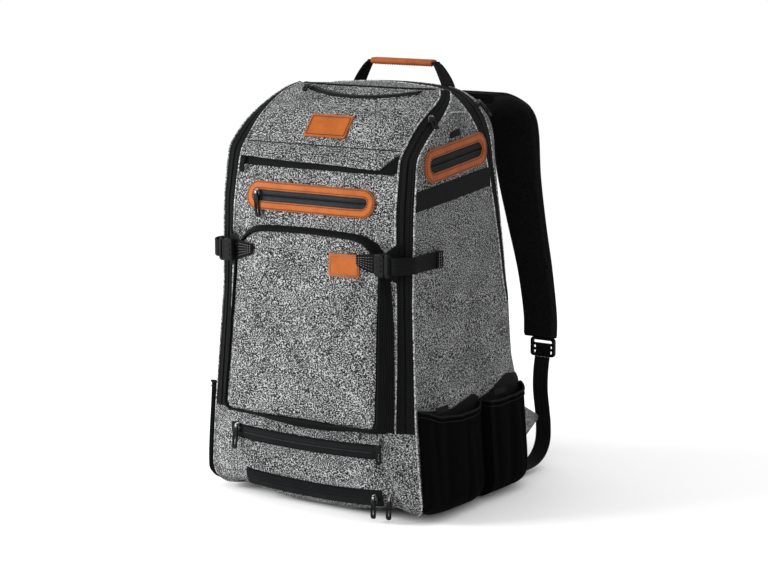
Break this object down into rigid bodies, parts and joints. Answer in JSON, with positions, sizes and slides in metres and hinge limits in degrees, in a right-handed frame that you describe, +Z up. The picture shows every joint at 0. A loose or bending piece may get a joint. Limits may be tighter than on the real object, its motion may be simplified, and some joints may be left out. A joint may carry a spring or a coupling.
{
  "type": "baseball bat backpack",
  "caption": "Tall clamshell sports backpack with a sloping top pocket, arched front pocket, mesh side pockets, padded shoulder straps and a leather-wrapped handle.",
  "frame": {"origin": "centre of the underside of the base, on the surface that the bag stands on", "axes": "+X to the right seen from the front, +Y towards the back panel and straps, +Z up"},
  "size_m": [0.3268, 0.3694, 0.509],
  "materials": {
    "canvas": "light salt-and-pepper heather canvas",
    "dark_canvas": "the same heather canvas, in its darker shade",
    "zip_tape": "black woven nylon",
    "zip": "black coated coil zip",
    "leather": "smooth orange-tan leather with a stitched edge",
    "mesh": "black stretch mesh",
    "webbing": "black ribbed webbing",
    "plastic": "black moulded plastic",
    "padding": "black spacer mesh over foam"
  },
  "bodies": {
    "root": {"front_panel": "canvas", "top_flap": "canvas", "lower_panel": "canvas", "hood_lip": "canvas", "crown_panel": "canvas", "pocket_face": "canvas", "side_panel_right": "dark_canvas", "side_panel_left": "dark_canvas", "rear_gusset": "dark_canvas", "strap_anchor_right": "dark_canvas", "strap_anchor_left": "dark_canvas", "front_tape_right": "zip_tape", "front_tape_left": "zip_tape", "rear_tape": "zip_tape", "hood_lining": "zip_tape", "pocket_gusset": "zip_tape", "base_panel": "zip_tape", "side_band_right": "zip_tape", "side_band_left": "zip_tape", "flap_zip": "zip", "lower_zip": "zip", "base_zip": "zip", "front_frame_zip": "zip", "side_frame_zip_right": "zip", "side_frame_zip_left": "zip", "front_frame": "leather", "front_label": "leather", "small_label": "leather", "handle_grip": "leather", "side_frame_right": "leather", "side_frame_left": "leather", "mesh_pocket_front_right": "mesh", "mesh_pocket_front_left": "mesh", "mesh_pocket_rear_right": "mesh", "mesh_pocket_rear_left": "mesh", "buckle_tab_right": "webbing", "buckle_tab_left": "webbing", "compression_strap_right": "webbing", "compression_strap_left": "webbing", "strap_wing_right": "webbing", "strap_wing_left": "webbing", "lower_webbing_right": "webbing", "lower_webbing_left": "webbing", "handle_webbing": "webbing", "buckle_right": "plastic", "buckle_left": "plastic", "ladder_lock_right": "plastic", "ladder_lock_left": "plastic", "flap_slider": "plastic", "frame_slider": "plastic", "lower_slider": "plastic", "base_slider_left": "plastic", "base_slider_right": "plastic", "pocket_slider": "plastic", "front_slider": "plastic", "rear_slider": "plastic", "shoulder_strap_right": "padding", "shoulder_strap_left": "padding", "back_panel": "padding"}
  },
  "joints": []
}
